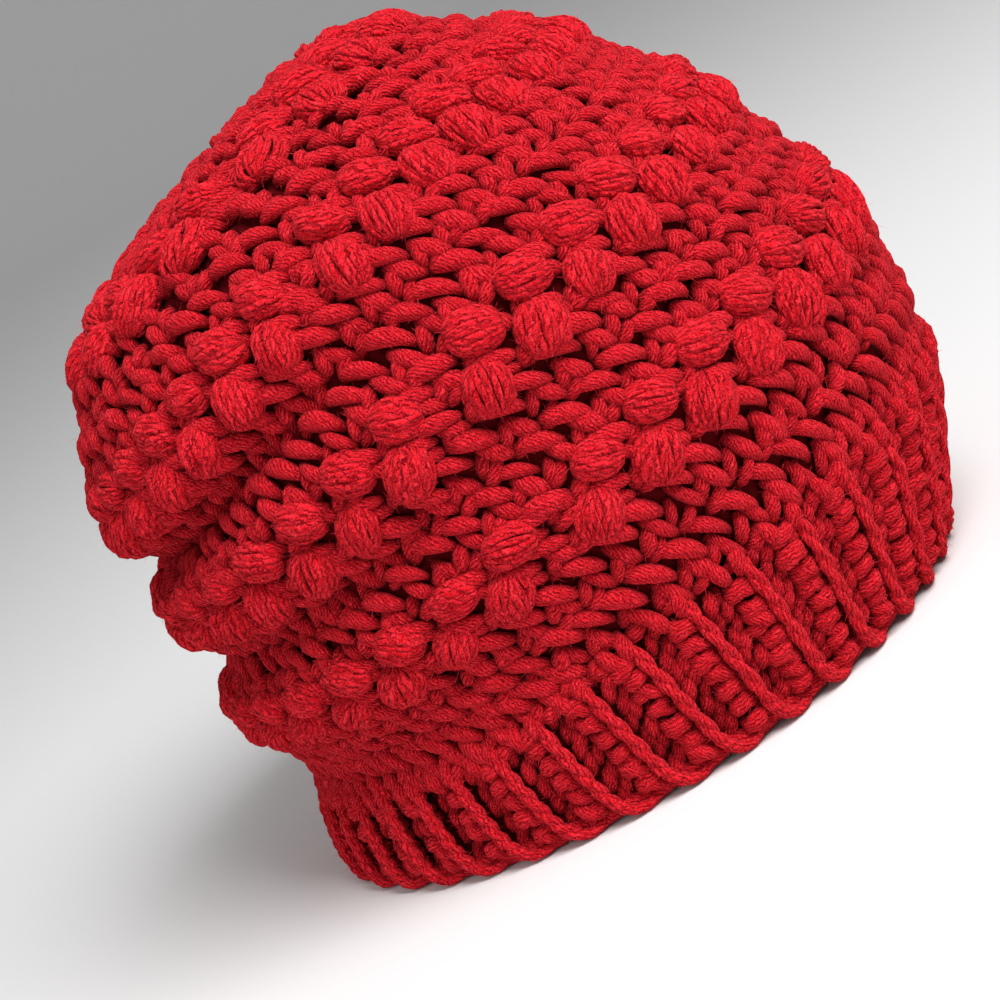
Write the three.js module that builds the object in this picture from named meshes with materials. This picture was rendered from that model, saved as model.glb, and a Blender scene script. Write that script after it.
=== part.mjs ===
// Bubble beanie: a slouchy crocheted cap with rings of raised bubbles and a ribbed brim.
// Millimetres, +Z up, +X towards the face. The beanie rests on its flat lower edge, and the
// origin lies on that plane, under the middle of the part.
import * as THREE from 'three';
import { mergeVertices } from 'three/addons/utils/BufferGeometryUtils.js';
import { ParametricGeometry } from 'three/addons/geometries/ParametricGeometry.js';

// Ribbed brim: a band worked sideways, so its ribs stand across it.
const rimLength = 200;
const rimWidth = 177;
const brimTopLength = 216;
const brimTopWidth = 178;
const brimTopForward = 14.5;
const brimHeightFront = 51;
const brimHeightSide = 45;
const brimHeightBack = 36;
const brimWall = 6.5;
const ribPitch = 15.2;
const ribRelief = 2.2;
const ribSweep = 0.22;
const edgeRounding = 1.5;
const edgeHeight = 4;

// Crown: a deep soft cap that slouches to the back, its sizes taken on the plain fabric.
const crownLength = 232;
const crownWidth = 192;
const crownHeight = 210.5;
const crownWall = 5;
const seamGap = 0.3;

// Rounds of stitches, as their height up the fabric, and the bubbles that stand on them.
const plainRound = 13;
const uprightRound = 10.5;
const lyingRound = 9.5;
const closingRound = 18;
const closingRounds = 3;
const bubbleRings = 4;
const bubbleSpacing = 19.6;
const uprightBubble = 5;
const lyingBubble = 4;
const bubbleShoulder = 0.72;
const bubbleFoot = 0.15;
const bubbleJoin = 0.5;
const gatheredRings = 1;

const red = 0xd81a2b;
const columnsPerBubble = 4;
const weld = 1e-3;
const turn = 2 * Math.PI;

// Sections of the crown from the brim up. Reach is the share of the fabric's length from the
// brim to the closing point. Centre and length are shares of the crown's length, width is a
// share of its width, and back, side and front are shares of its rise above the brim's side.
const crownSections = [
  { name: 'first ring', reach: 0.132, centre: 0.046, length: 0.985, width: 0.98, back: 0.05, side: 0.193, front: 0.255 },
  { name: 'second ring', reach: 0.326, centre: 0.01, length: 0.93, width: 1.0, back: 0.278, side: 0.471, front: 0.53 },
  { name: 'third ring', reach: 0.519, centre: -0.056, length: 0.81, width: 0.875, back: 0.465, side: 0.725, front: 0.78 },
  { name: 'shoulder', reach: 0.622, centre: -0.097, length: 0.7, width: 0.72, back: 0.605, side: 0.825, front: 0.89 },
  { name: 'fourth ring', reach: 0.712, centre: -0.116, length: 0.56, width: 0.562, back: 0.735, side: 0.885, front: 0.965 },
  { name: 'top', reach: 0.819, centre: -0.131, length: 0.33, width: 0.375, back: 0.84, side: 0.93, front: 1.0 },
  { name: 'closing point', reach: 1, centre: -0.138, length: 0, width: 0, back: 0.925, side: 0.925, front: 0.925 },
];

// One rib of the brim across its pitch: a groove, the row of stitches beside it and the raised
// cord. Height is a share of the ribs' relief.
const ribSection = [
  { name: 'groove start', across: 0, height: -0.9 },
  { name: 'groove end', across: 0.3, height: -0.9 },
  { name: 'stitches start', across: 0.42, height: 0.3 },
  { name: 'stitches end', across: 0.68, height: 0.35 },
  { name: 'cord', across: 0.84, height: 1 },
];

// Creases that gather the slouch at the back, between the rings. Depth is a share of the
// crown's length, reach and span are shares of the fabric's length.
const creases = [
  { name: 'lower crease', reach: 0.246, span: 0.075, depth: 0.04 },
  { name: 'upper crease', reach: 0.44, span: 0.068, depth: 0.066 },
];

// Perimeter of an ellipse from its full length and width, by Ramanujan's rule.
function perimeter(length, width) {
  const a = length / 2;
  const b = width / 2;
  return Math.PI * (3 * (a + b) - Math.sqrt((3 * a + b) * (a + 3 * b)));
}

const ribs = Math.round(perimeter(rimLength, rimWidth) / ribPitch);
const bubbles = 2 * Math.round(perimeter(crownLength, crownWidth) / bubbleSpacing / 2);

// Rounds from the brim up: two plain, one of upright bubbles and one of lying bubbles for
// each ring, then plain rounds to the closing point. Start is the height up the fabric.
function stackRounds() {
  const kinds = [];
  for (let ring = 0; ring < bubbleRings; ring++) {
    kinds.push({ kind: 'plain', ring, height: plainRound });
    kinds.push({ kind: 'plain', ring, height: plainRound });
    kinds.push({ kind: 'upright', ring, height: uprightRound });
    kinds.push({ kind: 'lying', ring, height: lyingRound });
  }
  for (let round = 0; round < closingRounds; round++) {
    kinds.push({ kind: 'plain', ring: bubbleRings, height: closingRound });
  }
  let start = 0;
  for (const round of kinds) {
    round.start = start;
    start += round.height;
  }
  return kinds;
}

const rounds = stackRounds();
const fabricLength = rounds.reduce((sum, round) => sum + round.height, 0);

// Height at an angle round a tilted ring, from its heights at the back, the side and the
// front. Angle 0 is the front and half a turn is the back.
function ringHeight(ring, angle) {
  const slope = (ring.front - ring.back) / 2;
  const bow = (ring.front + ring.back) / 2 - ring.side;
  return ring.side + slope * Math.cos(angle) + bow * Math.cos(angle) ** 2;
}

function ringPoint(ring, angle) {
  return new THREE.Vector3(
    ring.centre + (ring.length / 2) * Math.cos(angle),
    (ring.width / 2) * Math.sin(angle),
    ringHeight(ring, angle),
  );
}

// Level direction out of a ring's ellipse at an angle.
function ringOutward(ring, angle) {
  return new THREE.Vector3(ring.width * Math.cos(angle), ring.length * Math.sin(angle), 0).normalize();
}

const rim = { centre: 0, length: rimLength, width: rimWidth, back: 0, side: 0, front: 0 };
const brimTop = {
  centre: brimTopForward,
  length: brimTopLength,
  width: brimTopWidth,
  back: brimHeightBack,
  side: brimHeightSide,
  front: brimHeightFront,
};

// The crown's sections as real sizes, starting with the ring that the brim's top has.
const rise = crownHeight - brimHeightSide;
const crownRings = [{ ...brimTop, reach: 0 }];
for (const row of crownSections) {
  crownRings.push({
    reach: row.reach,
    centre: row.centre * crownLength,
    length: row.length * crownLength,
    width: row.width * crownWidth,
    back: brimHeightSide + row.back * rise,
    side: brimHeightSide + row.side * rise,
    front: brimHeightSide + row.front * rise,
  });
}

// A smooth curve through one column of the rings: on each stretch a cubic, whose slope at a
// row is the mean of the slopes on both sides of it.
function follow(rings, column, reach) {
  const last = rings.length - 1;
  let i = 0;
  while (i < last - 1 && reach > rings[i + 1].reach) i++;
  const secant = (k) => (rings[k + 1][column] - rings[k][column]) / (rings[k + 1].reach - rings[k].reach);
  const slope = (k) => {
    if (k === 0) return secant(0);
    if (k === last) return secant(last - 1);
    return (secant(k - 1) + secant(k)) / 2;
  };
  const span = rings[i + 1].reach - rings[i].reach;
  const t = (reach - rings[i].reach) / span;
  const startWeight = (1 + 2 * t) * (1 - t) ** 2;
  const endWeight = t * t * (3 - 2 * t);
  const startSlope = t * (1 - t) ** 2 * span;
  const endSlope = t * t * (t - 1) * span;
  return (
    startWeight * rings[i][column] +
    endWeight * rings[i + 1][column] +
    startSlope * slope(i) +
    endSlope * slope(i + 1)
  );
}

function crownRing(reach) {
  const ring = {};
  for (const column of ['centre', 'length', 'width', 'back', 'side', 'front']) {
    ring[column] = follow(crownRings, column, reach);
  }
  return ring;
}

// How far the creases pull the fabric in: deepest at the back, none at the front.
function creaseDepth(angle, reach) {
  const fade = ((1 - Math.cos(angle)) / 2) ** 2;
  let depth = 0;
  for (const crease of creases) {
    const away = Math.min(1, Math.abs(reach - crease.reach) / crease.span);
    depth += crease.depth * crownLength * (1 - Math.sin((away * Math.PI) / 2));
  }
  return depth * fade;
}

// A point of the crown's plain outer face.
function fabricPoint(angle, reach) {
  const ring = crownRing(reach);
  const point = ringPoint(ring, angle);
  return point.addScaledVector(ringOutward(ring, angle), -creaseDepth(angle, reach));
}

// Outward direction of that face, from the surface's own slopes. It is level where the crown
// sits on the brim and upright at the closing point.
function fabricOutward(angle, reach) {
  if (reach === 0) return ringOutward(crownRing(0), angle);
  if (reach === 1) return new THREE.Vector3(0, 0, 1);
  const step = 1e-3;
  const round = fabricPoint(angle + step, reach).sub(fabricPoint(angle - step, reach));
  const up = fabricPoint(angle, reach + step).sub(fabricPoint(angle, reach - step));
  return round.cross(up).normalize();
}

// How far the bubbles of a round raise a column: most at the bubble's middle and a share of
// that at its shoulders. Upright bubbles stand halfway between the lying ones. The gathered
// rings at the top hold half as many.
function bubbleHeight(round, column) {
  if (round.kind === 'plain') return 0;
  const gathered = round.ring >= bubbleRings - gatheredRings;
  const spacing = columnsPerBubble * (gathered ? 2 : 1);
  const first = round.kind === 'upright' ? 0 : spacing / 2;
  const turned = (column - first + spacing) % spacing;
  const away = Math.min(turned, spacing - turned);
  const height = round.kind === 'upright' ? uprightBubble : lyingBubble;
  return height * [1, bubbleShoulder, 0][Math.min(away, 2)];
}

// Turns a sheet that closes on itself both ways into one closed body: its seams are joined
// and the flat triangles at the poles are dropped.
function closeSheet(sheet) {
  sheet.deleteAttribute('normal');
  sheet.deleteAttribute('uv');
  const shell = mergeVertices(sheet, weld);
  const corners = shell.index.array;
  const kept = [];
  for (let i = 0; i < corners.length; i += 3) {
    const [a, b, c] = corners.subarray(i, i + 3);
    if (a !== b && b !== c && c !== a) kept.push(a, b, c);
  }
  shell.setIndex(kept);
  shell.computeVertexNormals();
  return shell;
}

// A closed wall from its lines, each a function from a column to a point. The lines run up
// the outer face and down the inner one, and the last joins the first.
function shellFromLines(lines, columns) {
  const point = (u, v, target) => {
    const column = Math.round(u * columns) % columns;
    const line = lines[Math.round(v * lines.length) % lines.length];
    target.copy(line(column));
  };
  return closeSheet(new ParametricGeometry(point, columns, lines.length));
}

// Crown: one hollow shell, closed at the top and open below.
function makeCrown() {
  const columns = columnsPerBubble * bubbles;
  const angleOf = (column) => (turn * column) / columns;
  const outer = (reach, heightOf) => (column) => {
    const angle = angleOf(column);
    return fabricPoint(angle, reach).addScaledVector(fabricOutward(angle, reach), heightOf(column));
  };
  const inner = (reach) => (column) => {
    const angle = angleOf(column);
    return fabricPoint(angle, reach).addScaledVector(fabricOutward(angle, reach), -crownWall);
  };
  const lines = [];
  const innerReaches = [];
  rounds.forEach((round, i) => {
    const below = rounds[Math.max(0, i - 1)];
    const share = round.kind === 'lying' ? bubbleJoin : bubbleFoot;
    const foot = (column) => share * Math.max(bubbleHeight(below, column), bubbleHeight(round, column));
    const reach = round.start / fabricLength;
    lines.push(outer(reach, foot));
    if (round.kind !== 'plain') {
      lines.push(outer((round.start + round.height / 2) / fabricLength, (column) => bubbleHeight(round, column)));
    } else if (below.kind !== 'lying') {
      innerReaches.push(reach);
    }
  });
  lines.push(outer(1, () => 0));
  lines.push(inner(1));
  for (const reach of innerReaches.reverse()) lines.push(inner(reach));
  return shellFromLines(lines, columns);
}

// Brim: a ring of upright ribs with a flat lower edge, its top under the crown's lower edge.
function makeBrim() {
  const sides = ribSection.length;
  const top = { ...brimTop };
  for (const column of ['back', 'side', 'front']) top[column] -= seamGap;
  const between = (share) => {
    const ring = {};
    for (const column of Object.keys(rim)) ring[column] = THREE.MathUtils.lerp(rim[column], top[column], share);
    return ring;
  };
  const line = (share, depth, relief) => (column) => {
    const side = ribSection[column % sides];
    const upright = (turn * (Math.floor(column / sides) + side.across)) / ribs;
    const angle = upright + ribSweep * share * Math.sin(upright);
    const ring = between(share);
    return ringPoint(ring, angle).addScaledVector(ringOutward(ring, angle), relief * side.height - depth);
  };
  const edge = edgeHeight / brimHeightSide;
  return shellFromLines([
    line(0, edgeRounding, ribRelief),
    line(edge, 0, ribRelief),
    line(0.5, 0, ribRelief),
    line(1 - edge, 0, ribRelief),
    line(1, edgeRounding, ribRelief),
    line(1, brimWall, 0),
    line(0, brimWall, 0),
  ], ribs * sides);
}

function yarn(name) {
  return new THREE.MeshStandardMaterial({ name, color: red, roughness: 0.92, metalness: 0 });
}

function named(name, geometry) {
  const mesh = new THREE.Mesh(geometry, yarn(name));
  mesh.name = name;
  return mesh;
}

const beanie = new THREE.Group();
beanie.add(named('crown', makeCrown()));
beanie.add(named('ribbed_brim', makeBrim()));

const reachBox = new THREE.Box3().setFromObject(beanie);
beanie.position.x = -(reachBox.min.x + reachBox.max.x) / 2;

export default beanie;
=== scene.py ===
# %% [markdown]
# # A crocheted bubble beanie
# The beanie is worked in rounds from one thick, soft, twisted yarn. Plain stitches and rings of
# puffed stitches, the bubbles, make the crown, and a band worked sideways makes the ribbed brim.
# The solids already hold its size and its folds. They come in as a fixed frame, and everything
# below is yarn that is laid over them.

# %% Load the frame
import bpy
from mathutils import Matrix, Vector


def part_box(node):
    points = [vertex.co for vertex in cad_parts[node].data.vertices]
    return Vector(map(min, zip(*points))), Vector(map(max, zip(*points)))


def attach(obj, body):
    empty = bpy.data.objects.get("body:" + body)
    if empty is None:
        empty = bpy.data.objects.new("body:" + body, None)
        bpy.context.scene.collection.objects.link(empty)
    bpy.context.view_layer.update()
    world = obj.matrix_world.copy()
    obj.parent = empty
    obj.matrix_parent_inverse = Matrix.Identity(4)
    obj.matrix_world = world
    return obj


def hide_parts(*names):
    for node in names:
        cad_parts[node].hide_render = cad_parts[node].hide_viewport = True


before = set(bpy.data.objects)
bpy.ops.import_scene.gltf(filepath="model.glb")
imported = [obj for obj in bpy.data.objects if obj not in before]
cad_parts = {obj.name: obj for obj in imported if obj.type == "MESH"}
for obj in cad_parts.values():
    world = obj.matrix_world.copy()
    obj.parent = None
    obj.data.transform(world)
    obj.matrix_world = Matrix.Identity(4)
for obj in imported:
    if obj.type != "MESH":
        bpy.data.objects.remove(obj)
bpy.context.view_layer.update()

# %% Tools and the boxes of the solids
import math

import bpy
import numpy as np
from mathutils import Matrix

mm = 0.001
crown_low, crown_high = (np.array(corner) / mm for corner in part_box("crown"))
brim_low, brim_high = (np.array(corner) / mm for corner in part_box("ribbed_brim"))
print("crown", crown_low.round(1), crown_high.round(1))
print("brim", brim_low.round(1), brim_high.round(1))

# %% [markdown]
# ## The plain face of the crown
# Under its stitches the crown is a soft cap that slouches to the back. It could be sculpted, but
# a short table of rings is easier to read and to change. Each row is one tilted oval, and a smooth
# curve runs from row to row. The rows are the ones of the solid, so the yarn lies where it does.

# %% Sizes of the crown
# the plain face lies inside the solids, whose box takes in their bubbles
crown_length = 0.949 * (crown_high[0] - crown_low[0])
crown_width = 0.9545 * (crown_high[1] - crown_low[1])
closing_height = 0.986 * crown_high[2]
fabric_length = 238.0
rim_length, rim_width, brim_wall = 200.0, 177.0, 6.5
brim_back, brim_side, brim_front = 36.0, 45.0, 51.0
middle_shift = -8.983
# centre, length, width, back, side and front of the oval where the brim ends
brim_top = [14.5, 216.0, 178.0, brim_back, brim_side, brim_front]
print("crown", round(crown_length, 1), round(crown_width, 1), round(closing_height, 1))

# %% The rings as a table
ring_shares = np.array([
    # reach, centre, length, width, back, side, front
    [0.132, 0.046, 0.985, 0.980, 0.050, 0.193, 0.255],
    [0.326, 0.010, 0.930, 1.000, 0.278, 0.471, 0.530],
    [0.519, -0.056, 0.810, 0.875, 0.465, 0.725, 0.780],
    [0.622, -0.097, 0.700, 0.720, 0.605, 0.825, 0.890],
    [0.712, -0.116, 0.560, 0.562, 0.735, 0.885, 0.965],
    [0.819, -0.131, 0.330, 0.375, 0.840, 0.930, 1.000],
    [1.000, -0.138, 0.000, 0.000, 0.925, 0.925, 0.925],
])
creases = np.array([
    # reach, span, depth
    [0.246, 0.075, 0.040],
    [0.440, 0.068, 0.066],
])
rise = closing_height - brim_side
ring_units = np.array([1, crown_length, crown_length, crown_width, rise, rise, rise])
crown_rows = ring_shares * ring_units
crown_rows[:, 4:] += brim_side
crown_rows = np.vstack([[0.0] + brim_top, crown_rows])
print(len(crown_rows), "rings up the crown")

# %% Any ring between two rows
def follow(rows, reach):
    """Ring values at a reach: between two rows a cubic, whose slope at a row is the mean of the
    slopes on both sides of it."""
    at = rows[:, 0]
    secant = np.diff(rows[:, 1:], axis=0) / np.diff(at)[:, None]
    slope = np.vstack([secant[:1], (secant[:-1] + secant[1:]) / 2, secant[-1:]])
    i = np.clip(np.searchsorted(at, reach, side="right") - 1, 0, len(at) - 2)
    span = (at[i + 1] - at[i])[..., None]
    t = (reach[..., None] - at[i][..., None]) / span
    start = (1 + 2 * t) * (1 - t) ** 2 * rows[i, 1:] + t * (1 - t) ** 2 * span * slope[i]
    end = t * t * (3 - 2 * t) * rows[i + 1, 1:] + t * t * (t - 1) * span * slope[i + 1]
    return np.moveaxis(start + end, -1, 0)


def unit(vectors):
    """Each vector divided by its own length."""
    return vectors / np.maximum(np.linalg.norm(vectors, axis=-1, keepdims=True), 1e-9)


print("half way up", follow(crown_rows, np.array([0.5])).ravel().round(1))

# %% A point on the face
def ring_point(ring, angle, push):
    """A point of a tilted oval: half its length times the cosine, half its width times the sine,
    and a height that runs from the front's to the back's, pushed out level."""
    centre, length, width, back, side, front = ring
    cos, sin = np.cos(angle), np.sin(angle)
    level = unit(np.stack([width * cos, length * sin], axis=-1))
    height = side + (front - back) / 2 * cos + ((front + back) / 2 - side) * cos ** 2
    x = centre + length / 2 * cos + push * level[..., 0] + middle_shift
    y = width / 2 * sin + push * level[..., 1]
    return np.stack([x, y, height], axis=-1)


def crease_depth(angle, reach):
    """How far the two folds pull the fabric in: a cusp across each fold, which fades out from the
    back to the front."""
    away = np.minimum(1, np.abs(reach[..., None] - creases[:, 0]) / creases[:, 1])
    depth = (creases[:, 2] * crown_length * (1 - np.sin(away * np.pi / 2))).sum(axis=-1)
    return depth * ((1 - np.cos(angle)) / 2) ** 2


def crown_point(angle, reach):
    """The plain face at an angle round it and a reach up it."""
    angle, reach = np.broadcast_arrays(angle, reach)
    return ring_point(follow(crown_rows, reach), angle, -crease_depth(angle, reach))


print("front of the first ring", crown_point(0.0, 0.132).round(1))

# %% Yarn stands out from the face
def crown_outward(angle, reach):
    """The way out of the face: the cross product of its slopes round and up."""
    step = 2e-3
    reach = np.clip(reach, step, 0.985)
    around = crown_point(angle + step, reach) - crown_point(angle - step, reach)
    up = crown_point(angle, reach + step) - crown_point(angle, reach - step)
    return unit(np.cross(around, up))


def on_crown(angle, reach, out):
    """A place over the crown's face, the way out there, and how far out it is."""
    outward = crown_outward(angle, reach)
    return crown_point(angle, np.clip(reach, -0.03, 1)) + out[..., None] * outward, outward, out


print("outward at the side", crown_outward(np.array(-1.57), np.array(0.3)).round(2))

# %% [markdown]
# ## Yarn
# A stitch is a short run of yarn, so a piece of fabric is many short tubes with soft closed ends.
# A curve object per stitch would be slow. Here one stitch is drawn once as a small table of
# points, and a few array sums bend it into every place it takes, all tubes at the same time.

# %% A curve through a table of points
def curve_through(table, steps):
    """A smooth curve through the rows of a table, at even steps: between two rows a cubic whose
    slope at a row is half the way between its neighbours."""
    rows = np.asarray(table, float)
    rows = np.vstack([2 * rows[:1] - rows[1:2], rows, 2 * rows[-1:] - rows[-2:-1]])
    at = np.linspace(0, len(rows) - 3, steps)
    i = np.minimum(at.astype(int), len(rows) - 4)
    t = (at - i)[:, None]
    a, b, c, d = (rows[i + k] for k in range(4))
    bend = (2 * a - 5 * b + 4 * c - d) * t ** 2 + (3 * b - a - 3 * c + d) * t ** 3
    return (2 * b + (c - a) * t + bend) / 2


print(curve_through([[0, 0], [1, 1], [2, 0]], 5).round(2).tolist())

# %% Many tubes at once
random = np.random.default_rng(7)


def sweep(place, radii, sides, lines, twist):
    """Closed tubes along many paths at once. Each cross-section is a circle square to the path,
    and its first spoke is carried along the path so that the tube isn't wrung. The first yarn
    coordinate is the length along over the twist, the second counts the lines of yarn round it.
    The rise of a point is how far it stands out of the plain face."""
    paths, outward, out = place
    count, steps = paths.shape[:2]
    radii = np.broadcast_to(radii, (count, steps))
    tangent = unit(np.gradient(paths, axis=1))
    spoke = np.cross(tangent[:, 0], outward[:, 0])
    spokes = np.empty_like(paths)
    for step in range(steps):
        along = (spoke * tangent[:, step]).sum(axis=-1, keepdims=True)
        spoke = unit(spoke - along * tangent[:, step])
        spokes[:, step] = spoke
    other = np.cross(spokes, tangent)
    turn = 2 * np.pi * np.arange(sides) / sides
    ring = np.cos(turn)[:, None] * spokes[:, :, None] + np.sin(turn)[:, None] * other[:, :, None]
    points = paths[:, :, None] + radii[:, :, None, None] * ring
    rise = out[:, :, None] + radii[:, :, None] * (ring * outward[:, :, None]).sum(axis=-1)
    run = np.linalg.norm(np.diff(paths, axis=1), axis=-1).cumsum(axis=1) / twist
    run = np.hstack([np.zeros((count, 1)), run]) + random.random((count, 1))
    return {"points": points, "normals": ring, "run": run, "tangent": tangent, "lines": lines,
            "rise": rise}


print("the random numbers start from a fixed seed")

# %% Faces of the tubes
def tube_faces(tubes, first):
    """Corner numbers of the quads between two rings, wound so that they face out, of the two end
    caps, and the yarn coordinates of every corner."""
    count, steps, sides = tubes["points"].shape[:3]
    number = first + np.arange(count * steps * sides).reshape(count, steps, sides)
    after = np.roll(number, -1, axis=2)
    quads = [number[:, :-1], number[:, 1:], after[:, 1:], after[:, :-1]]
    quads = np.stack(quads, axis=-1).reshape(-1, 4)
    caps = np.concatenate([number[:, 0], number[:, -1, ::-1]])
    run = tubes["run"][:, :, None] + np.zeros(sides)
    share = np.arange(sides) / sides + np.zeros((count, steps - 1, sides))
    u = [run[:, :-1], run[:, 1:], run[:, 1:], run[:, :-1]]
    v = [share, share, share + 1 / sides, share + 1 / sides]
    v = [tubes["lines"] * part for part in v]
    quad_uv = np.stack([np.stack(u, axis=-1), np.stack(v, axis=-1)], axis=-1).reshape(-1, 2)
    cap_uv = np.concatenate([tubes["run"][:, 0], tubes["run"][:, -1]]).repeat(sides)
    cap_uv = np.stack([cap_uv, np.zeros_like(cap_uv)], axis=-1)
    return quads, caps, quad_uv, cap_uv


print("each tube has a quad for every side of every step, and two caps")

# %% From tubes to a piece
pieces = {}


def make_piece(name, batches, slot, *nodes):
    """One mesh from batches of tubes, in metres, with its yarn coordinates, a tone for each strand
    and each point's rise, riding on the part's body in place of the solids it stands for."""
    quads, caps, quad_uv, cap_uv, points, tones = [], [], [], [], [], []
    first = 0
    for tubes in batches:
        found = tube_faces(tubes, first)
        quads += found[0].tolist()
        caps += found[1].tolist()
        quad_uv.append(found[2])
        cap_uv.append(found[3])
        flat = tubes["points"].reshape(-1, 3)
        points.append(flat)
        each = random.random(len(tubes["points"]))
        tones.append(each.repeat(len(flat) // len(each)))
        first += len(flat)
    mesh = bpy.data.meshes.new(name)
    mesh.from_pydata(np.concatenate(points) * mm, [], quads + caps)
    uv = np.concatenate(quad_uv + cap_uv)
    mesh.uv_layers.new(name="yarn").data.foreach_set("uv", uv.ravel())
    tone = mesh.attributes.new("tone", "FLOAT", "POINT")
    tone.data.foreach_set("value", np.concatenate(tones))
    # the rise sets the painted shade on yarn that lies low between the loops
    rise = mesh.attributes.new("rise", "FLOAT", "POINT")
    rise.data.foreach_set("value", np.concatenate([tubes["rise"].ravel() for tubes in batches]))
    return finish_piece(name, mesh, nodes)


def finish_piece(name, mesh, nodes):
    """Smooth faces, and the piece's place in the frame."""
    mesh.polygons.foreach_set("use_smooth", np.ones(len(mesh.polygons), bool))
    mesh.update()
    piece = bpy.data.objects.new(name, mesh)
    bpy.context.scene.collection.objects.link(piece)
    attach(piece, "root")
    if nodes:
        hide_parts(*nodes)
    pieces[name] = piece
    print(name, len(mesh.vertices), "points,", count_triangles(mesh), "triangles")
    return piece


def count_triangles(mesh):
    """Each face has two triangles fewer than it has corners."""
    return sum(len(face.vertices) - 2 for face in mesh.polygons)


print("the helpers for pieces are ready")

# %% [markdown]
# ## Plain stitches
# A plain stitch here is a long hook of yarn: it leaves the top of its left neighbour, arches over
# and runs down to a pinch, where a second loop meets it and two thinner loops fan out to the
# right. A dark hole stays open under the arch. One small table per loop gives that shape, in
# stitch widths to the right, round heights up, and millimetres out.

# %% The loops of a plain stitch
stitch_loops = {
    # right, up, out, radius
    "arch": [[-1.05, 0.99, -2.9, 1.3], [-0.87, 0.97, -1.3, 2.1], [-0.66, 0.91, -0.4, 2.55],
             [-0.43, 0.81, -0.1, 2.65], [-0.21, 0.68, -0.2, 2.4], [-0.04, 0.54, -1.0, 1.8],
             [0.05, 0.40, -2.6, 1.2]],
    "leaf": [[-0.61, 0.64, -2.8, 1.7], [-0.49, 0.47, -1.4, 2.3], [-0.33, 0.30, -0.8, 2.5],
             [-0.16, 0.12, -1.2, 2.2], [0.00, -0.05, -3.0, 1.2]],
    "high fan": [[0.00, 0.05, -3.0, 1.3], [0.13, 0.18, -1.3, 2.1], [0.28, 0.34, -0.9, 2.3],
                 [0.38, 0.50, -2.6, 1.5]],
    "low fan": [[0.02, -0.10, -3.0, 1.3], [0.24, -0.06, -1.2, 2.0], [0.50, 0.04, -0.8, 2.2],
                [0.72, 0.18, -2.4, 1.5]],
}
loop_shapes = {
    # steps, sides, lines round, twist
    "arch": (9, 7, 13, 1.45), "leaf": (7, 7, 13, 1.45),
    "high fan": (5, 6, 11, 1.5), "low fan": (5, 6, 11, 1.5),
}
print(list(stitch_loops))

# %% Rounds of the crown
plain_round, upright_round, lying_round, closing_round = 14.0, 9.0, 9.0, 18.0
ring_height = 2 * plain_round + upright_round + lying_round
seam = math.radians(-96.8)
round_stitches = 69
one_stitch = 2 * math.pi / round_stitches
row_shift, closing_turn = 0.3 * one_stitch, 0.3
bubble_pitches = 3 * [2 * one_stitch] + [2 * math.pi / 17.3]
bubble_firsts = np.radians([-89.1, -89.1, -89.1, -78.5])
lying_shift = 0.39
ring_stitches = [
    # in the lower plain round, in the upper one, between the bubbles
    (round_stitches, round_stitches, 35), (round_stitches, round_stitches, 35),
    (round_stitches, round_stitches, 35), (52, 35, 18),
]
closing_stitches = [34, 17, 9]
rounds = []
for ring, (low, high, gaps) in enumerate(ring_stitches):
    start = ring * ring_height
    pitch = bubble_pitches[ring]
    first = bubble_firsts[ring] - pitch / 2
    # start, height, stitches, pitch, first angle
    rounds.append([start, plain_round, low, 2 * math.pi / low, seam])
    rounds.append([start + plain_round, plain_round, high, 2 * math.pi / high, seam - row_shift])
    start += 2 * plain_round
    rounds.append([start, upright_round, gaps, pitch, first])
    rounds.append([start + upright_round, lying_round, gaps, pitch, first + lying_shift * pitch])
for number, count in enumerate(closing_stitches):
    start = len(ring_stitches) * ring_height + number * closing_round
    first = seam + closing_turn * number
    rounds.append([start, closing_round, count, 2 * math.pi / count, first])
rounds = np.array(rounds)
print(int(rounds[:, 2].sum()), "plain stitches in", len(rounds), "rounds")

# %% The rounds ride up at the front
round_lift = np.array([
    # height by the stitch count, lift at the side, and what the front adds and the back takes
    [0.0, 0.0, 0.0],
    [31.4, 1.6, 10.5],
    [77.4, -0.6, 12.8],
    [123.4, 0.9, 6.0],
    [169.4, 2.6, 2.0],
    [fabric_length, 0.0, 0.0],
])
fold_edge, fold_fade = np.radians(165), np.radians(55)


def ease(share):
    """A share kept between 0 and 1, as three times its square less twice its cube."""
    share = np.clip(share, 0, 1)
    return share * share * (3 - 2 * share)


def from_front(angle):
    """How far an angle is from the front, either way round."""
    return np.abs((angle + np.pi) % (2 * np.pi) - np.pi)


def fabric_reach(height, angle):
    """The share of the fabric at a height: the height, its lift, and its tilt times the cosine of
    the angle, which fades out near the middle of the back, where the folds hold the rounds."""
    lift, tilt = follow(round_lift, np.clip(height, 0, fabric_length))
    fade = ease((fold_edge - from_front(angle)) / fold_fade)
    return (height + lift + tilt * np.cos(angle) * fade) / fabric_length


side_reach = fabric_reach(np.array(30.4), np.array(-1.57))
print("first bubbles at the side", (side_reach * fabric_length).round(1))

# %% Lay the plain stitches
full_round, gap_share = 40, 0.58
# how far a loop is off in its table's four columns, the last as a share
stitch_slip = np.array([[0.08], [0.055], [0.35], [0.10]])


def stitch_cells(rows):
    """One row per stitch: the angle of its pinch, the angle that a stitch takes, the height where
    its round starts and the round's height. In a round with fewer stitches a stitch takes only a
    share of the pitch, and never less than in a full one."""
    cells = []
    for start, height, count, pitch, first in rows:
        angle = first + pitch * np.arange(count)
        wide = max(pitch if count > full_round else gap_share * pitch, one_stitch)
        cells.append(np.column_stack([angle, np.tile([wide, start, height], (len(angle), 1))]))
    return np.concatenate(cells)


def slips(count, sizes):
    """What each loop of a batch is off by: a normal random number times each size."""
    return random.normal(0, 1, (count, 4, 1)) * sizes


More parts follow.
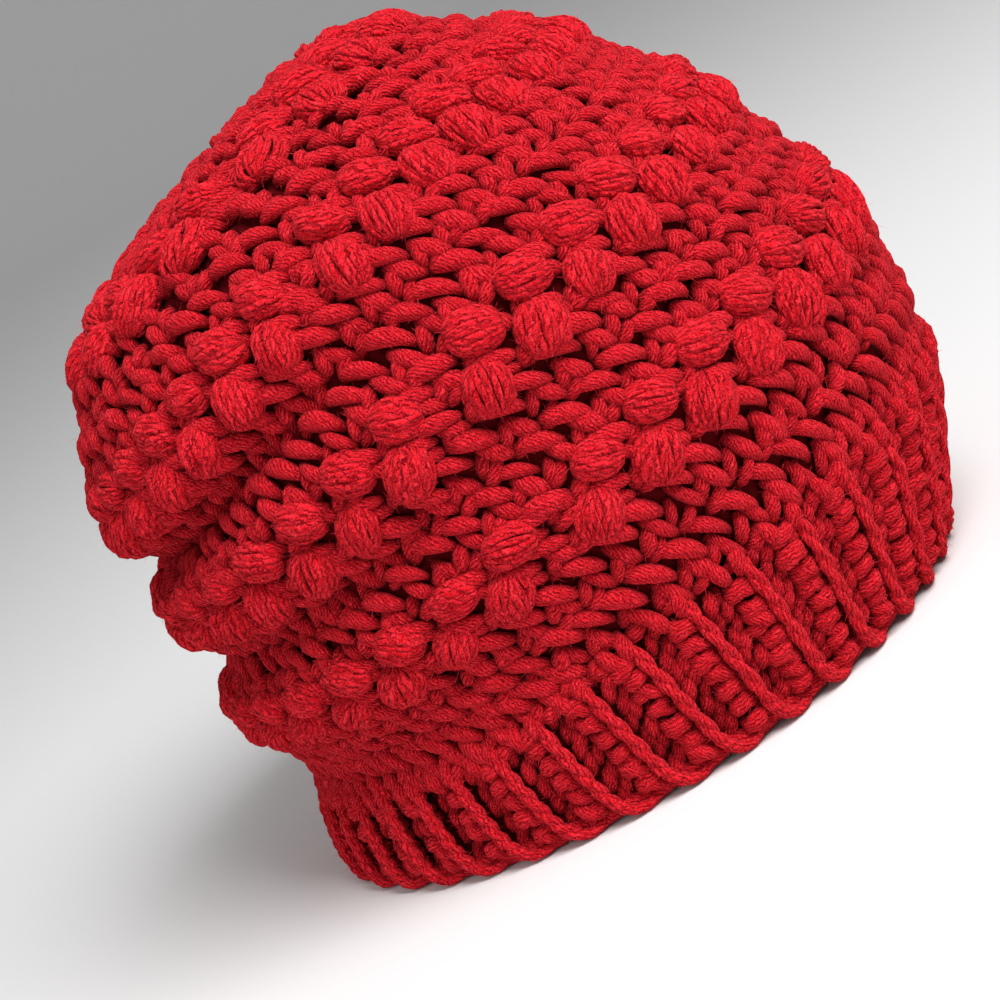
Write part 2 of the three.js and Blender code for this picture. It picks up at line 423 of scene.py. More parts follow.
def lay_stitches(cells):
    """Bends every loop's table into every cell: the loop's width turns with the cell's angle, its
    height goes up the fabric, and each loop is a little off, as hand-made loops are."""
    batches = []
    for loop, table in stitch_loops.items():
        steps, sides, lines, twist = loop_shapes[loop]
        right, up, out, radius = curve_through(table, steps).T
        slip = slips(len(cells), stitch_slip)
        angle = cells[:, :1] + (right + slip[:, 0]) * cells[:, 1:2]
        reach = fabric_reach(cells[:, 2:3] + (up + slip[:, 1]) * cells[:, 3:4], angle)
        place = on_crown(angle, reach, out + slip[:, 2])
        batches.append(sweep(place, radius * (1 + slip[:, 3]), sides, lines, twist))
    return batches


lower_stitches = lay_stitches(stitch_cells(rounds[:6]))
upper_stitches = lay_stitches(stitch_cells(rounds[6:]))
make_piece("plain_stitches_lower", lower_stitches, "crown_yarn", "crown")
make_piece("plain_stitches_upper", upper_stitches, "crown_yarn", "crown")

# %% [markdown]
# ## Bubbles
# A bubble is a puff stitch: half a dozen long loops worked into one place and closed together, so
# its strands run from pinch to pinch like the seams of a ball. Each strand is a meridian of a
# squashed ball, laid as a tube of its own, because a ball with a striped material would show a
# smooth edge. One round has the bubbles upright and leaning forward, the next has them lying over
# the first ones' tops.

# %% Strands of a bubble
bubble_spacing = 19.6
upright_shape = {"long": 6.9, "wide": 6.2, "deep": 4.8, "sink": -0.2, "lean": math.radians(27),
                 "start power": 0.66, "end power": 0.9}
lying_shape = {"long": 7.3, "wide": 5.1, "deep": 4.4, "sink": -0.3, "lean": math.radians(114),
               "start power": 0.85, "end power": 0.6}
strand_count, strand_steps, strand_sides = 13, 8, 6
strand_wrap, strand_slip, thinnest, thickest = 105, 0.04, 0.95, 1.3
core_share, core_steps, core_sides = 0.88, 6, 8


def bubble_strands(angle, pitch, height, shape):
    """Meridians of an oval ball. Along the ball's axis a strand runs as the cosine, and away from
    it as a power of the sine, split between sideways and outward by the strand's own angle. The
    power is low at the blunt end and higher at the end where the loops are closed together."""
    many = (len(angle), strand_count)
    along = np.linspace(0.03 * np.pi, 0.97 * np.pi, strand_steps)
    even = np.radians(np.linspace(-strand_wrap, strand_wrap, strand_count))
    round_it = even + random.normal(0, strand_slip, many)
    swell = 1 + random.normal(0, strand_slip, (*many, 1))
    lean = shape["lean"] + random.normal(0, 0.12, (len(angle), 1, 1))
    size = 1 + random.normal(0, 0.05, (len(angle), 1, 1))
    wave = 0.06 * np.sin(3 * along + 2 * np.pi * random.random((*many, 1)))
    spoke = round_it[..., None] + wave
    power = shape["start power"] + (shape["end power"] - shape["start power"]) * along / np.pi
    full = np.sin(along) ** power * swell * size
    axial = -shape["long"] * np.cos(along) * size + 0 * full
    sideways = shape["wide"] * full * np.sin(spoke)
    out = shape["deep"] * full * np.cos(spoke) + shape["sink"]
    right = sideways * np.cos(lean) + axial * np.sin(lean)
    up = axial * np.cos(lean) - sideways * np.sin(lean)
    angles = angle[:, None, None] + right * (pitch / bubble_spacing)
    reaches = fabric_reach(height[:, None, None] + up, angles)
    flat = [part.reshape(-1, strand_steps) for part in (angles, reaches, out)]
    thick = random.uniform(thinnest, thickest, (len(flat[0]), 1))
    radii = thick * (0.5 + 0.5 * np.sin(along))
    return sweep(on_crown(*flat), radii, strand_sides, lines=3, twist=5.0)


def bubble_cores(angle, pitch, height, shape):
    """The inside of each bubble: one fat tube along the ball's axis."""
    along = np.linspace(0.08 * np.pi, 0.92 * np.pi, core_steps)
    axial = -shape["long"] * core_share * np.cos(along)
    right, up = axial * np.sin(shape["lean"]), axial * np.cos(shape["lean"])
    angles = angle[:, None] + right * (pitch / bubble_spacing)
    reaches = fabric_reach(height[:, None] + up, angles)
    out = np.full_like(angles, shape["sink"] - 0.3)
    radii = 0.97 * shape["deep"] * np.sin(along) ** 0.6
    return sweep(on_crown(angles, reaches, out), radii, core_sides, lines=12, twist=3.0)


print(strand_count, "strands and a core in each bubble")

# %% Rings of bubbles
upright_up, lying_up = 3.4, 14.8
ring_bubbles = [34, 34, 34, 17]


def bubble_ring(ring, count, shape, shift, up):
    """The strands and cores of one ring. They are a bubble's pitch apart, and the seam, where the
    round starts and ends, takes one stitch more."""
    pitch = bubble_pitches[ring]
    angle = bubble_firsts[ring] + pitch * (np.arange(count) + shift)
    angle = angle + random.normal(0, 0.02, count) * pitch
    height = ring * ring_height + 2 * plain_round + up + random.normal(0, 0.4, count)
    strands = bubble_strands(angle, pitch, height, shape)
    return [strands, bubble_cores(angle, pitch, height, shape)]


upright_bubbles = []
lying_bubbles = []
for ring, count in enumerate(ring_bubbles):
    upright_bubbles += bubble_ring(ring, count, upright_shape, 0, upright_up)
    lying_bubbles += bubble_ring(ring, count, lying_shape, lying_shift, lying_up)
make_piece("upright_bubbles", upright_bubbles, "crown_yarn", "crown")
make_piece("lying_bubbles", lying_bubbles, "crown_yarn", "crown")

# %% [markdown]
# ## Inside of the fabric
# Between the loops one sees the inside of the fabric, in shade. The solids could show there, but
# their bubbles would poke out, so a plain closed wall lies under the stitches instead. Its inner
# face is the inside of the cap. Its dark red is painted shade.

# %% A wall closed both ways
def closed_wall(name, place, outer, inner, columns, slot, *nodes):
    """A grid that runs up the outer face and down the inner one and joins its own start. Its yarn
    coordinates are the share of the way round and the reach up."""
    angle = 2 * np.pi * np.arange(columns + 1) / columns
    lines = np.array(outer + inner)
    reach = lines[:, :1] + 0 * angle
    out = lines[:, 1:] + 0 * angle
    points = place(angle + 0 * reach, reach, out)[:, :-1]
    count = len(lines)
    number = np.arange(count * columns).reshape(count, columns)
    after, above = np.roll(number, -1, axis=1), np.roll(number, -1, axis=0)
    both = np.roll(after, -1, axis=0)
    quads = np.stack([number, after, both, above], axis=-1).reshape(-1, 4)
    u = np.arange(columns) / columns + np.zeros((count, 1))
    v = reach[:, :-1]
    v_next = np.roll(v, -1, axis=0)
    corners = [(u, v), (u + 1 / columns, v), (u + 1 / columns, v_next), (u, v_next)]
    uv = np.stack([np.stack(pair, axis=-1) for pair in corners], axis=2)
    mesh = bpy.data.meshes.new(name)
    mesh.from_pydata(points.reshape(-1, 3) * mm, [], quads.tolist())
    mesh.uv_layers.new(name="yarn").data.foreach_set("uv", uv.ravel())
    return finish_piece(name, mesh, nodes)


def crown_place(angle, reach, out):
    """A point over the crown's face."""
    return on_crown(angle, reach, out)[0]


crown_up = np.linspace(0.0, 0.995, 48)
wall_outer, wall_inner, wall_columns = -3.3, -5.3, 4 * max(ring_bubbles)
crown_wall_outer = [(reach, wall_outer) for reach in crown_up]
crown_wall_inner = [(reach, wall_inner) for reach in crown_up[::-2]]
closed_wall("crown_lining", crown_place, crown_wall_outer, crown_wall_inner, wall_columns,
            "crown_yarn", "crown")

# %% [markdown]
# ## The ribbed brim
# The band is worked sideways, so its rows stand upright. Each rib is a cord of two strands that
# wind round each other. Between two cords lie a column of knobbly loops and two deeper columns of
# small ones. At the lower edge the cords curl forward into scallops, over a strand that goes all
# the way round. At the top, upright loops join the band to the crown, and towards the back a round
# of plain stitches hangs over it. A bump on a plain band would leave its edge straight, so the
# loops are tubes here too.

# %% A place on the brim
rib_count = 39
rib_sweep = 0.22
brim_rows = np.array([[0.0, 0.0, rim_length, rim_width, 0.0, 0.0, 0.0], [1.0] + brim_top])


def brim_point(angle, share, out):
    """The band between the rim's oval and the brim's top oval, pushed out level. The ribs lean
    back as they rise."""
    turned = angle + rib_sweep * share * np.sin(angle)
    return ring_point(follow(brim_rows, share), turned, out)


def on_brim(angle, share, out):
    """A place over the brim, the way out there, and how far out it is."""
    point = brim_point(angle, share, out)
    return point, unit(brim_point(angle, share, out + 1.0) - point), out + 0 * angle


print(rib_count, "ribs")

# %% Where the ribs end
front_drop, back_drop = 1.5, 10.0
drop_edge, drop_fade = math.radians(72), math.radians(45)


def rib_height(angle):
    """How high the ribs go and how high the band is. The crown's first round hangs a little over
    the band in front, and more towards the back."""
    cos = np.cos(angle)
    middle = (brim_front + brim_back) / 2
    top = brim_side + (brim_front - brim_back) / 2 * cos + (middle - brim_side) * cos ** 2
    return top - front_drop - back_drop * ease((from_front(angle) - drop_edge) / drop_fade), top


print("ribs at the side go up to", rib_height(np.array(-1.57))[0].round(1), "mm")

# %% The cords
cord_foot = 10.5
cord_table = np.array([
    # across the rib's pitch, height in millimetres, share of the height above that, out
    [1.60, 2.7, 0.00, -2.4], [1.42, 2.0, 0.00, -0.6], [1.22, 1.9, 0.00, 1.0], [1.05, 3.1, 0.00, 1.8],
    [0.94, 6.0, 0.00, 2.6], [0.88, cord_foot, 0.00, 2.9], [0.86, cord_foot, 0.35, 2.9],
    [0.85, cord_foot, 0.70, 2.7], [0.84, cord_foot, 1.03, 1.0],
])
rib_pitch = 2 * math.pi / rib_count
cord_turns, cord_radius, cord_steps, cord_sides = 5.2, 1.45, 44, 6
strand_aside, strand_lift, rib_spacing = 0.8, 0.7, 16


def lay_cords():
    """Each cord is two strands that wind round one line: the line curls forward along the edge and
    then runs straight up, and a strand stands off it by the cosine and sine of its turn."""
    across, height, above, out = curve_through(cord_table, cord_steps).T
    angle = rib_pitch * (np.arange(rib_count)[:, None] + across)
    top, whole = rib_height(angle)
    share = (height + above * (top - cord_foot)) / whole
    turn = 2 * np.pi * cord_turns * np.linspace(0, 1, cord_steps)
    turn = turn + random.random((rib_count, 1)) * 6
    ends = np.minimum(1, 0.6 + 3 * np.sin(np.linspace(0.02, 0.98, cord_steps) * np.pi))
    batches = []
    for phase in (0, np.pi):
        aside = strand_aside * np.cos(turn + phase) / rib_spacing * rib_pitch
        lift = strand_lift * np.sin(turn + phase)
        place = on_brim(angle + aside, share, out + lift)
        batches.append(sweep(place, cord_radius * ends, cord_sides, lines=6, twist=2.4))
    return batches


print("each cord winds round", cord_turns, "times")

# %% Knobs and grooves between the cords
knob_loops = {
    # across, up in loop heights, out, radius
    "knob": [[0.34, -0.24, -2.2, 1.6], [0.42, -0.12, 0.0, 2.4], [0.53, 0.04, 1.0, 2.65],
             [0.64, 0.16, 0.4, 2.3], [0.72, 0.30, -1.8, 1.5]],
    "tuft": [[0.37, 0.42, -2.2, 1.3], [0.45, 0.26, 0.2, 1.9], [0.55, 0.02, 1.1, 2.1],
             [0.66, -0.20, 0.3, 1.8], [0.74, -0.38, -2.0, 1.2]],
    "left groove": [[-0.06, -0.60, -3.4, 1.3], [0.00, -0.30, -2.0, 1.9], [0.06, 0.04, -1.5, 2.05],
                    [0.11, 0.36, -1.9, 1.8], [0.15, 0.62, -3.4, 1.2]],
    "right groove": [[0.15, -0.10, -3.4, 1.2], [0.18, 0.20, -1.9, 1.8], [0.24, 0.50, -1.4, 2.0],
                     [0.29, 0.80, -1.8, 1.8], [0.33, 1.10, -3.4, 1.2]],
}
loop_height, loops_up, first_loop, top_gap = 5.6, 8, 6.5, 0.5
knob_steps, knob_sides = 6, 7
knob_slip = np.array([[0.03], [0.11], [0.45], [0.10]])


def lay_knobs():
    """Bends the tables of a rib into every loop height of every rib that lies below its top."""
    rib, loop = (part.ravel() for part in np.meshgrid(np.arange(rib_count), np.arange(loops_up)))
    height = first_loop + loop_height * loop
    fits = height < rib_height(rib_pitch * (rib + 0.5))[0] - top_gap
    rib, height = rib[fits], height[fits]
    batches = []
    for table in knob_loops.values():
        across, up, out, radius = curve_through(table, knob_steps).T
        slip = slips(len(rib), knob_slip)
        angle = rib_pitch * (rib[:, None] + across + slip[:, 0])
        share = (height[:, None] + loop_height * (up + slip[:, 1])) / rib_height(angle)[1]
        place = on_brim(angle, share, out + slip[:, 2])
        batches.append(sweep(place, radius * (1 + slip[:, 3]), knob_sides, lines=13, twist=1.8))
    return batches


print(list(knob_loops))

# %% The edge, and the join with the crown
edge_height, edge_radius, edge_steps = 3.4, 2.3, 8 * rib_count + 1
join_below, join_bulge, join_radius, join_out = 3.0, 3.4, 2.5, -2.4
hanging_least, hanging_out = 5.5, 0.6


def lay_edge():
    """A thick strand round the rim, that dips once a rib, behind the curled ends of the cords."""
    angle = np.linspace(0, 2 * np.pi, edge_steps)[None, :]
    wave = np.cos(rib_count * angle)
    place = on_brim(angle, (edge_height + 0.8 * wave) / brim_side, -1.6 + 0.4 * wave)
    return sweep(place, edge_radius, 8, lines=11, twist=2.1)


def lay_join():
    """Two upright loops a rib, from the top of the ribs up; they lean towards each other in
    pairs."""
    angle = rib_pitch * (0.5 * np.arange(2 * rib_count)[:, None] + 0.32)
    up = np.linspace(0, 1, 7)
    lean = np.where(np.arange(2 * rib_count) % 2 == 0, 0.16, -0.10)[:, None] + 0 * up
    angle = angle + rib_pitch * (lean * (1 - up) + random.normal(0, 0.03, (len(angle), 1)))
    top, whole = rib_height(angle)
    length = np.minimum(whole + 5.5, top + 6.5) - top + join_below
    share = (top - join_below + length * up) / whole
    bulge = np.sin(np.pi * (0.06 + 0.88 * up))
    place = on_brim(angle, share, join_out + join_bulge * bulge)
    return sweep(place, join_radius * bulge ** 0.6, 7, lines=13, twist=1.45)


def lay_hanging_round():
    """The plain stitches that hang over the band at the sides and the back, bent from the same
    tables as the crown's."""
    angle = seam + one_stitch * np.arange(round_stitches)[:, None]
    top, whole = rib_height(angle)
    angle = angle[whole - top > hanging_least][:, None]
    batches = []
    for loop, table in stitch_loops.items():
        steps, sides, lines, twist = loop_shapes[loop]
        right, up, out, radius = curve_through(table, steps).T
        slip = slips(len(angle), stitch_slip)
        turned = angle + (right + slip[:, 0]) * one_stitch
        top, whole = rib_height(turned)
        share = (top + 1.0 + (whole + 3.0 - top) * (up + slip[:, 1])) / whole
        place = on_brim(turned, share, out + hanging_out + slip[:, 2])
        batches.append(sweep(place, radius * (1 + slip[:, 3]), sides, lines, twist))
    return batches


ribs = lay_cords() + lay_knobs() + lay_hanging_round() + [lay_edge(), lay_join()]
make_piece("brim_ribs", ribs, "brim_yarn", "ribbed_brim")

# %% The brim's own wall
brim_up = np.linspace(0.03, 0.995, 14)
brim_wall_outer = -2.7
brim_outer = [(share, brim_wall_outer) for share in brim_up]
brim_inner = [(share, -brim_wall) for share in brim_up[::-1]]
closed_wall("brim_lining", brim_point, brim_outer, brim_inner, 4 * rib_count,
            "brim_yarn", "ribbed_brim")

# %% [markdown]
# ## Fuzz
# Soft yarn has a haze of loose fibres, which blurs every edge. Blender's hair would give it, but
# the fibres have to be plain mesh to travel with the model, so each is a thin closed spike of four
# triangles. They stand on the strands only, where they are seen.

# %% Fibres that stand on the strands
fibre_radius, root_depth, lowest = 0.06, 0.2, 0.1
crown_fibres, crown_fibre_length = 44000, 1.8
brim_fibres, brim_fibre_length = 14000, 1.7


def grow_fuzz(name, batches, count, length, slot, *nodes):
    """Spikes from random spots of the tubes: out along the surface's normal and partly along the
    strand, with a triangle as the cross-section. None goes below the floor."""
    spots = np.concatenate([t["points"].reshape(-1, 3) for t in batches])
    ways = np.concatenate([t["normals"].reshape(-1, 3) for t in batches])
    runs = [np.broadcast_to(t["tangent"][:, :, None], t["points"].shape) for t in batches]
    runs = np.concatenate([run.reshape(-1, 3) for run in runs])
    chosen = random.choice(len(spots), count, replace=False)
    sway = random.normal(0, 0.5, (3, count, 3))
    lengths = length * random.gamma(4, 1 / 4, (count, 1))
    away = unit(ways[chosen] + runs[chosen] * random.normal(0, 0.9, (count, 1)) + 0.6 * sway[0])
    root = spots[chosen] - root_depth * ways[chosen]
    root += 0.5 * sway[1] * (1 - ways[chosen] ** 2)
    spoke = unit(np.cross(away, sway[2]))
    other = np.cross(away, spoke)
    turn = 2 * np.pi * np.arange(3) / 3
    star = np.cos(turn)[:, None] * spoke[:, None] + np.sin(turn)[:, None] * other[:, None]
    tip = (root + lengths * away)[:, None]
    points = np.concatenate([root[:, None] + fibre_radius * star, tip], axis=1)
    points[..., 2] = np.maximum(points[..., 2], lowest)
    corners = np.array([[0, 1, 3], [1, 2, 3], [2, 0, 3], [0, 2, 1]]).ravel()
    faces = (4 * np.arange(count)[:, None] + corners).reshape(-1, 3)
    mesh = bpy.data.meshes.new(name)
    mesh.from_pydata(points.reshape(-1, 3) * mm, [], faces.tolist())
    return finish_piece(name, mesh, nodes)


crown_tubes = upright_bubbles + lying_bubbles + lower_stitches + upper_stitches
grow_fuzz("crown_fuzz", crown_tubes, crown_fibres, crown_fibre_length, "crown_yarn", "crown")
grow_fuzz("brim_fuzz", ribs, brim_fibres, brim_fibre_length, "brim_yarn", "ribbed_brim")

# %% [markdown]
# ## Finishes
# The yarn is matt and soft: bright red where light falls on it, with a painted highlight where the
# fibre and nap noises run high, and painted shade, a deep red, between the loops and in the grooves
# of the plies; the fibres and nap also darken it at random. Its plies wind round each strand, and
# finer fibres run along them. A picture of wool could be wrapped on, but it would swim over the
# bends. Both are worked out from the yarn coordinates of each tube instead, so they follow it.

# %% Small helpers for nodes
def new_material(name):
    """An empty material with its shader and output joined."""
    material = bpy.data.materials.new(name)
    material.use_nodes = True
    nodes = material.node_tree.nodes
    nodes.clear()
    shader = nodes.new("ShaderNodeBsdfPrincipled")
    output = nodes.new("ShaderNodeOutputMaterial")
    material.node_tree.links.new(shader.outputs[0], output.inputs[0])
    return material, shader


def maths(tree, kind, first, second=None):
    """One maths node; each input is a number or another node's output."""
    node = tree.nodes.new("ShaderNodeMath")
    node.operation = kind
    for socket, value in zip(node.inputs, (first, second)):
        if value is None:
            continue
        if isinstance(value, (int, float)):
            socket.default_value = value
        else:
            tree.links.new(value, socket)
    return node.outputs[0]


def blend_colours(tree, share, low, high):
    """A colour between two, by a share; each is three numbers or another node's output."""
    node = tree.nodes.new("ShaderNodeMix")
    node.data_type = "RGBA"
    tree.links.new(share, node.inputs["Factor"])
    inputs = [socket for socket in node.inputs if socket.type == "RGBA"]
    for socket, value in zip(inputs, (low, high)):
        if isinstance(value, tuple):
            socket.default_value = (*value, 1)
        else:
            tree.links.new(value, socket)
    return [socket for socket in node.outputs if socket.type == "RGBA"][0]


def clamp(tree, value, top):
    """A value kept between nothing and a top."""
    return maths(tree, "MAXIMUM", maths(tree, "MINIMUM", value, top), 0.0)


def rising(tree, value, start, share):
    """How far a value is over a start, times a share."""
    return maths(tree, "MULTIPLY", maths(tree, "SUBTRACT", value, start), share)


def falling(tree, value, start, share):
    """How far a value is under a start, times a share."""
    return maths(tree, "MULTIPLY", maths(tree, "SUBTRACT", start, value), share)


print("the helpers for nodes are ready")

# %% Noise, bumps and the piece's own values
def noise(tree, place, scale, detail):
    """The value of one noise at a place."""
    node = tree.nodes.new("ShaderNodeTexNoise")
    node.inputs["Scale"].default_value = scale
    node.inputs["Detail"].default_value = detail
    node.inputs["Roughness"].default_value = 0.6
    tree.links.new(place, node.inputs["Vector"])
    return node.outputs[0]


def bump(tree, height, distance, strength, before=None):
    """One bump, over the one before it."""
    node = tree.nodes.new("ShaderNodeBump")
    node.inputs["Strength"].default_value = strength
    node.inputs["Distance"].default_value = distance
    tree.links.new(height, node.inputs["Height"])
    if before is not None:
        tree.links.new(before, node.inputs["Normal"])
    return node.outputs[0]


def yarn_coordinates(tree):
    """The length along the strand and the lines round it, as two numbers."""
    uv = tree.nodes.new("ShaderNodeUVMap")
    uv.uv_map = "yarn"
    split = tree.nodes.new("ShaderNodeSeparateXYZ")
    tree.links.new(uv.outputs[0], split.inputs[0])
    return split.outputs[0], split.outputs[1]


def own_value(tree, name):
    """A number that the mesh holds for each of its points."""
    node = tree.nodes.new("ShaderNodeAttribute")
    node.attribute_name = name
    return node.outputs["Fac"]


print("the helpers for patterns are ready")

# %% Yarn of plies and fibres
drift_scale, drift_share = 420, 2.2
# the power of the ply lines, and the strength of the painted shade in their grooves
ply_power, ply_groove_shade = 0.6, 0.72
fibre_stretch, fibre_lines, tone_spread = 1.6, 4.0, 60.0
nap_scale = 2600
dull_start, dull_share = 0.56, 2.4
rough_start, rough_share = 0.5, 2.2
# start, share and most of the painted shade on yarn that lies low between the loops
low_shade_start, low_shade_share, low_shade_most = 1.3, 0.2, 0.85
# start and share of the painted highlight where the fibre and nap noises run high
highlight_start, highlight_share = 0.46, 2.0
# height of each bump in metres, and its strength
ply_bump, fibre_bump, nap_bump = (0.0009, 0.8), (0.0005, 0.7), (0.0004, 0.8)


def yarn_finish(name, lit, highlight, deep):
    """The height of a line is the root of the absolute sine of half a turn times both yarn
    coordinates together, pushed off a little by a noise. Fibres are a noise that is stretched
    along the lines, and the wool's nap is a finer one, the same every way. Yarn that lies low
    between the loops, and the grooves between the plies, are darker with painted shade; the
    fibres and nap darken it at random, and where they run high they get a painted highlight."""
    material, shader = new_material(name)
    tree = material.node_tree
    along, around = yarn_coordinates(tree)
    spot = tree.nodes.new("ShaderNodeTexCoord").outputs["Object"]
    drift = rising(tree, noise(tree, spot, drift_scale, 2), 0.5, drift_share)
    phase = maths(tree, "ADD", maths(tree, "ADD", along, around), drift)
    wave = maths(tree, "ABSOLUTE", maths(tree, "SINE", maths(tree, "MULTIPLY", phase, math.pi)))
    ply = maths(tree, "POWER", wave, ply_power)
    place = tree.nodes.new("ShaderNodeCombineXYZ")
    tone = maths(tree, "MULTIPLY", own_value(tree, "tone"), tone_spread)
    tree.links.new(maths(tree, "MULTIPLY", along, fibre_stretch), place.inputs[0])
    tree.links.new(maths(tree, "MULTIPLY", phase, fibre_lines), place.inputs[1])
    tree.links.new(tone, place.inputs[2])
    fibres = noise(tree, place.outputs[0], 1.0, 4)
    nap = noise(tree, spot, nap_scale, 3)
    # painted shade in the grooves between the plies
    groove = falling(tree, ply, 1.0, ply_groove_shade)
    # the fibres and nap darken the tone at random
    dull = falling(tree, fibres, dull_start, dull_share)
    rough = falling(tree, nap, rough_start, rough_share)
    # painted shade on yarn that lies low between the loops, where shade falls
    low = clamp(tree, falling(tree, own_value(tree, "rise"), low_shade_start, low_shade_share), low_shade_most)
    shade = maths(tree, "ADD", maths(tree, "ADD", groove, dull), maths(tree, "ADD", rough, low))
    # painted highlight where the fibre and nap noises run high
    fibre_highlight = maths(tree, "ADD", rising(tree, fibres, highlight_start, highlight_share),
                 rising(tree, nap, highlight_start, highlight_share))
    bright = blend_colours(tree, clamp(tree, fibre_highlight, 1.0), lit, highlight)
    # the painted shade and the random tone pull the colour towards the deep red
    colour = blend_colours(tree, clamp(tree, shade, 1.0), bright, deep)
    tree.links.new(colour, shader.inputs["Base Color"])
    ridges = bump(tree, ply, *ply_bump)
    hairs = bump(tree, fibres, *fibre_bump, ridges)
    tree.links.new(bump(tree, nap, *nap_bump, hairs), shader.inputs["Normal"])
    shader.inputs["Roughness"].default_value = 0.9
    shader.inputs["Specular IOR Level"].default_value = 0.06
    shader.inputs["Sheen Weight"].default_value = 0.32
    shader.inputs["Sheen Roughness"].default_value = 0.5
    shader.inputs["Sheen Tint"].default_value = (1.0, 0.10, 0.12, 1)
    return material


# the yarn's red, a pinker red for the painted highlight, a deep red for painted shade and random
# tone
lit_red = (0.74, 0.004, 0.013)
highlight_red = (0.98, 0.055, 0.08)
shade_and_tone_red = (0.22, 0.0, 0.003)
crown_yarn = yarn_finish("crown_yarn", lit_red, highlight_red, shade_and_tone_red)
brim_yarn = yarn_finish("brim_yarn", lit_red, highlight_red, shade_and_tone_red)
print(len(crown_yarn.node_tree.nodes), "nodes in the yarn's material")

# %% Inside and loose fibres
lining_columns, lining_rounds, lining_bump = 68, 18, (0.0015, 0.8)


def lining_finish(name, colour):
    """Wool in a dark red that is painted shade, with the backs of the stitches as low bumps: the
    product of one sine round the cap and one up it."""
    material, shader = new_material(name)
    tree = material.node_tree
    round_it, up = yarn_coordinates(tree)
    columns = maths(tree, "SINE", maths(tree, "MULTIPLY", round_it, lining_columns * 2 * math.pi))
    rows = maths(tree, "SINE", maths(tree, "MULTIPLY", up, lining_rounds * 2 * math.pi))
    height = maths(tree, "MULTIPLY", columns, rows)
    tree.links.new(bump(tree, height, *lining_bump), shader.inputs["Normal"])
    shader.inputs["Base Color"].default_value = (*colour, 1)
    shader.inputs["Roughness"].default_value = 0.95
    shader.inputs["Specular IOR Level"].default_value = 0.1
    return material


def fuzz_finish(name, colour):
    """Single fibres: matt, and a little lighter than the yarn as a painted highlight."""
    material, shader = new_material(name)
    shader.inputs["Base Color"].default_value = (*colour, 1)
    shader.inputs["Roughness"].default_value = 0.9
    shader.inputs["Specular IOR Level"].default_value = 0.05
    return material


# the inside is the same red yarn; its dark red is painted shade
lining = lining_finish("painted_shade_lining", (0.11, 0.001, 0.003))
# the loose fibres' lighter red is a painted highlight
fuzz = fuzz_finish("painted_highlight_fibres", (1.0, 0.06, 0.08))
finishes = {
    "plain_stitches_lower": crown_yarn, "plain_stitches_upper": crown_yarn,
    "upright_bubbles": crown_yarn, "lying_bubbles": crown_yarn, "brim_ribs": brim_yarn,
    "crown_lining": lining, "brim_lining": lining, "crown_fuzz": fuzz, "brim_fuzz": fuzz,
}
for name, material in finishes.items():
    pieces[name].data.materials.append(material)
    print(name, "is finished in", material.name)

# %% [markdown]
# ## Floor, light and camera
# The beanie stands on its rim on a pale floor that curves up behind it. A flat floor and a wall
# would meet in a line, and the curve hides it. The light is large and soft, from the upper right
# of the picture, and the camera looks at the side from a little above and is rolled, as in the
# photograph.

# %% The floor and the backdrop
floor_reach, bend_start, bend_radius, backdrop_height = 20.0, 3.0, 2.0, 8.0


def pale_sweep():
    """A profile carried sideways: level, then a quarter circle, then upright."""
    bend = np.linspace(0, np.pi / 2, 24)
    y = bend_start + bend_radius * np.sin(bend)
    y = np.concatenate([[-floor_reach], y, [bend_start + bend_radius]])
    z = bend_radius * (1 - np.cos(bend))
    z = np.concatenate([[0.0], z, [backdrop_height]])
    left = np.stack([np.full_like(y, -floor_reach), y, z], axis=-1)
    right = left * [-1, 1, 1]
    count = len(y)
    number = np.arange(count - 1)
    quads = np.stack([number, number + count, number + count + 1, number + 1], axis=-1)
    mesh = bpy.data.meshes.new("floor")
    mesh.from_pydata(np.concatenate([left, right]), [], quads.tolist())
    mesh.polygons.foreach_set("use_smooth", np.ones(len(mesh.polygons), bool))
    floor = bpy.data.objects.new("floor", mesh)
    bpy.context.scene.collection.objects.link(floor)
    return floor


floor = pale_sweep()
floor_paint, floor_shader = new_material("pale_floor")
floor_shader.inputs["Base Color"].default_value = (0.75, 0.75, 0.75, 1)
floor_shader.inputs["Roughness"].default_value = 0.9
floor.data.materials.append(floor_paint)
print("the floor has", len(floor.data.polygons), "faces")

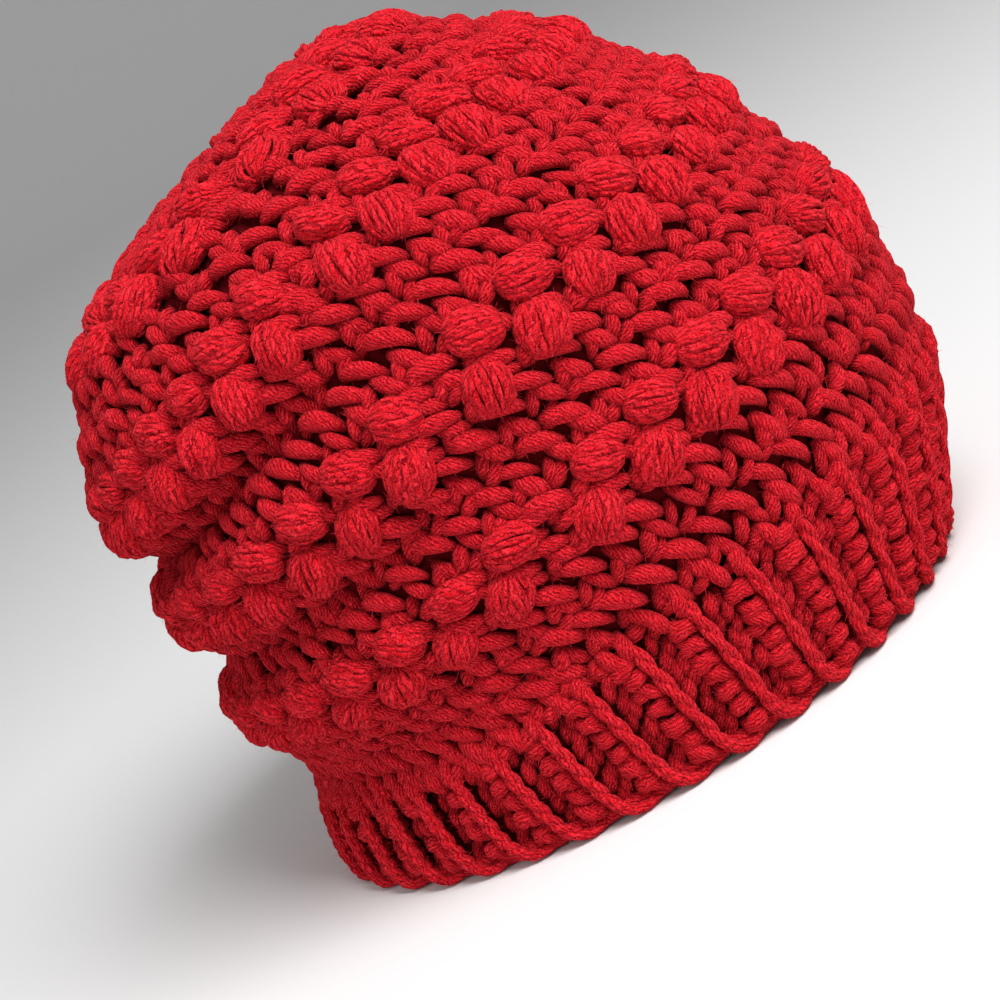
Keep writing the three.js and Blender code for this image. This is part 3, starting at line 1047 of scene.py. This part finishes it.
# %% The camera
elevation, roll = math.radians(14), math.radians(31)
aim = np.array([-16.9, 0.0, 71.5]) * mm
distance, seen_width, sensor_width = 0.7, 0.2929, 36
right = np.array([1.0, 0.0, 0.0])
forward = np.array([0.0, math.cos(elevation), -math.sin(elevation)])
above = np.cross(right, forward)
local_x = math.cos(roll) * right - math.sin(roll) * above
local_y = math.sin(roll) * right + math.cos(roll) * above
camera_data = bpy.data.cameras.new("camera")
camera_data.sensor_width = sensor_width
camera_data.lens = sensor_width * distance / seen_width
camera = bpy.data.objects.new("camera", camera_data)
bpy.context.scene.collection.objects.link(camera)
pose = np.eye(4)
pose[:3, 0], pose[:3, 1], pose[:3, 2] = local_x, local_y, -forward
pose[:3, 3] = aim - distance * forward
camera.matrix_world = Matrix(pose.tolist())
bpy.context.scene.camera = camera
print("camera at", pose[:3, 3].round(3), "lens", round(camera_data.lens, 1))

# %% The light
lit_spot = np.array([0, 0, 0.1])


def soft_light(name, place, size, power):
    """A square lamp at a place, turned to the middle of the beanie."""
    data = bpy.data.lights.new(name, "AREA")
    data.shape = "SQUARE"
    data.size = size
    data.energy = power
    lamp = bpy.data.objects.new(name, data)
    back = unit(np.array(place) - lit_spot)
    side = unit(np.cross([0.0, 0.0, 1.0], back))
    turn = np.eye(4)
    turn[:3, 0], turn[:3, 1], turn[:3, 2], turn[:3, 3] = side, np.cross(back, side), back, place
    lamp.matrix_world = Matrix(turn.tolist())
    bpy.context.scene.collection.objects.link(lamp)
    return lamp


soft_light("key", (0.5, -0.62, 1.15), 0.8, 25)
soft_light("fill", (-0.9, -1.1, 0.7), 1.2, 4)
world = bpy.data.worlds.new("studio")
world.use_nodes = True
background = world.node_tree.nodes["Background"]
background.inputs["Color"].default_value = (1, 1, 1, 1)
background.inputs["Strength"].default_value = 0.4
bpy.context.scene.world = world
bpy.context.scene.view_settings.view_transform = "Standard"
print("two lamps and an even white sky")

# %% Count the triangles
print(sum(count_triangles(piece.data) for piece in pieces.values()), "triangles in all")
